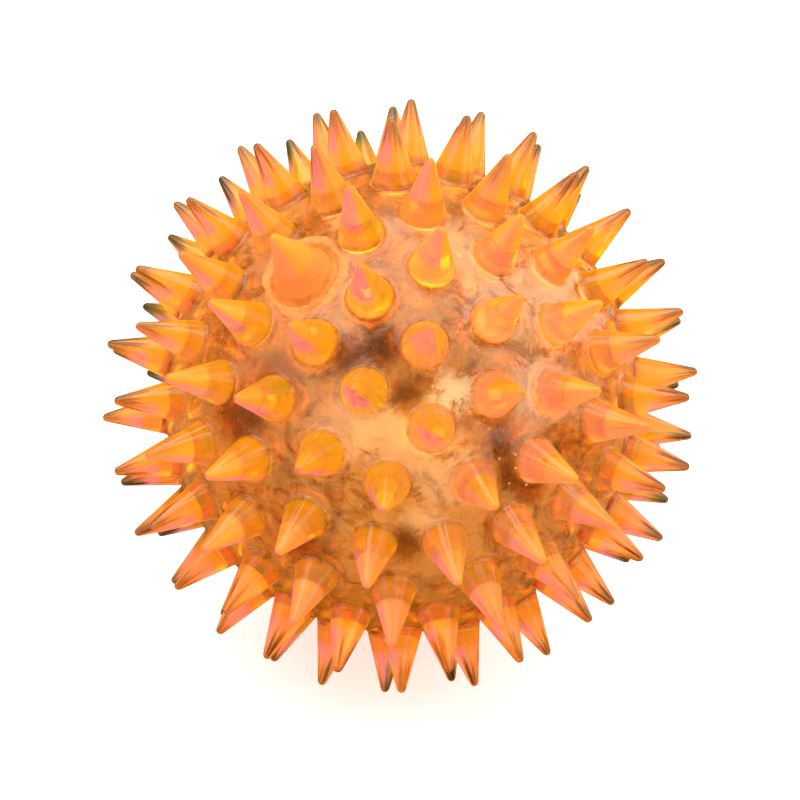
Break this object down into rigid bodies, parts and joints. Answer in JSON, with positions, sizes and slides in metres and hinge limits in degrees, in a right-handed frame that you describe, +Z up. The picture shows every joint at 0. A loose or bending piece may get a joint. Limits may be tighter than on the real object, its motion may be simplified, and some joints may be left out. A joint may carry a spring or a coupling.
{
  "type": "light-up spiky ball",
  "caption": "Hollow see-through soft-rubber ball covered in cone spikes, with a plugged filling port and a bounce-activated LED flasher module bonded inside.",
  "frame": {"origin": "centre of the ball", "axes": "+Z up when the ball stands on three spike tips with the flasher module at the bottom, -Y the front that faces the picture's camera, +X to the right"},
  "size_m": [0.0747, 0.0746, 0.074],
  "materials": {
    "orange_rubber": "glossy see-through orange soft rubber",
    "plug_rubber": "glossy see-through orange soft rubber",
    "cement": "clear solvent cement, rough edge",
    "bonding_pad": "matt soft foam pad",
    "clear_plastic": "clear moulded plastic",
    "board": "green lacquered circuit board",
    "black_resin": "black potting resin",
    "resistor_body": "black chip body with tinned ends",
    "red_led": "red tinted LED resin",
    "green_led": "green tinted LED resin",
    "blue_led": "blue tinted LED resin",
    "cell_steel": "nickel plated steel can",
    "shrink_film": "clear shrink film",
    "contact_strip": "bare spring brass strip",
    "spring_wire": "bright spring wire",
    "pin_wire": "tinned steel wire"
  },
  "bodies": {
    "ball": {"ball_shell": "orange_rubber", "port_plug": "plug_rubber", "plug_cement": "cement", "module_pad": "bonding_pad", "case_tray": "clear_plastic", "case_lid": "clear_plastic", "circuit_board": "board", "chip_glob": "black_resin", "chip_resistor": "resistor_body", "led_left": "red_led", "led_middle": "green_led", "led_right": "blue_led", "cell_1": "cell_steel", "cell_2": "cell_steel", "cell_3": "cell_steel", "cell_sleeve": "shrink_film", "plus_contact": "contact_strip", "minus_contact": "contact_strip", "motion_pin": "pin_wire"},
    "spring": {"motion_spring": "spring_wire"}
  },
  "joints": [
    {"name": "spring_sway", "type": "hinge", "parent": "ball", "child": "spring", "pos_m": [-0.0007, 0.0036, -0.0101], "axis": [0, 0, 1], "range_deg": [-5, 5], "stiffness_Nm_per_rad": 0.00005}
  ]
}
